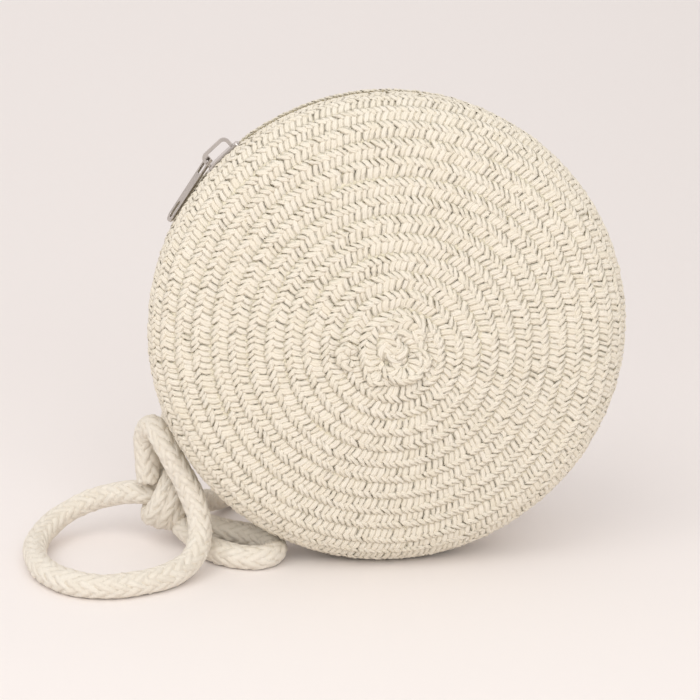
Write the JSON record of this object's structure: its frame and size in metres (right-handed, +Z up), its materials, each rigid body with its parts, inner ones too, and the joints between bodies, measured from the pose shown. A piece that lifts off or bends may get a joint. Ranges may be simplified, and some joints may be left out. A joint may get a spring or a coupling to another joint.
{
  "type": "round braided shoulder bag",
  "caption": "Round shoulder bag of spiral-sewn natural braid with a domed face, a zipped rim, a metal slider and a thin rope strap knotted up beside it.",
  "frame": {"origin": "on the floor, under the middle of the bag's body, where its rim rests", "axes": "+Z up, front face towards -Y, the bag's round axis along Y, +X to the right seen from the front"},
  "size_m": [0.2374, 0.1919, 0.1849],
  "materials": {
    "straw_braid": "matte, flat plait of cream paper straw",
    "strap_rope": "matte, soft round plaited cord",
    "lining": "matte plain weave cotton",
    "zip_tape": "matte woven tape",
    "zip_coil": "satin nylon coil",
    "zip_metal": "polished nickel"
  },
  "bodies": {
    "bag": {"front_shell": "straw_braid", "back_shell": "straw_braid", "side_band": "straw_braid", "front_lining": "lining", "back_lining": "lining", "side_lining": "lining", "inner_pocket": "lining", "zip_tape_front": "zip_tape", "zip_tape_back": "zip_tape", "zip_coil_front": "zip_coil", "zip_coil_back": "zip_coil", "zip_top_stops": "zip_metal", "zip_bottom_stop": "zip_metal", "strap_sleeve_left": "strap_rope", "strap_sleeve_right": "strap_rope", "strap_knot": "strap_rope", "strap_left_run": "strap_rope", "strap_big_loop": "strap_rope", "strap_small_loop": "strap_rope", "strap_back_run": "strap_rope", "strap_right_run": "strap_rope", "strap_coil": "strap_rope"},
    "slider": {"slider_body": "zip_metal"},
    "pull": {"pull_tab": "zip_metal"}
  },
  "joints": [
    {"name": "zip_slide", "type": "hinge", "parent": "bag", "child": "slider", "pos_m": [0, 0, 0.09206], "axis": [0, 1, 0], "range_deg": [0, 83.9]},
    {"name": "pull_swing", "type": "hinge", "parent": "slider", "child": "pull", "pos_m": [-0.0673, 0, 0.15929], "axis": [-0.2142, 0.9659, 0.1453], "range_deg": [0, 160]}
  ]
}
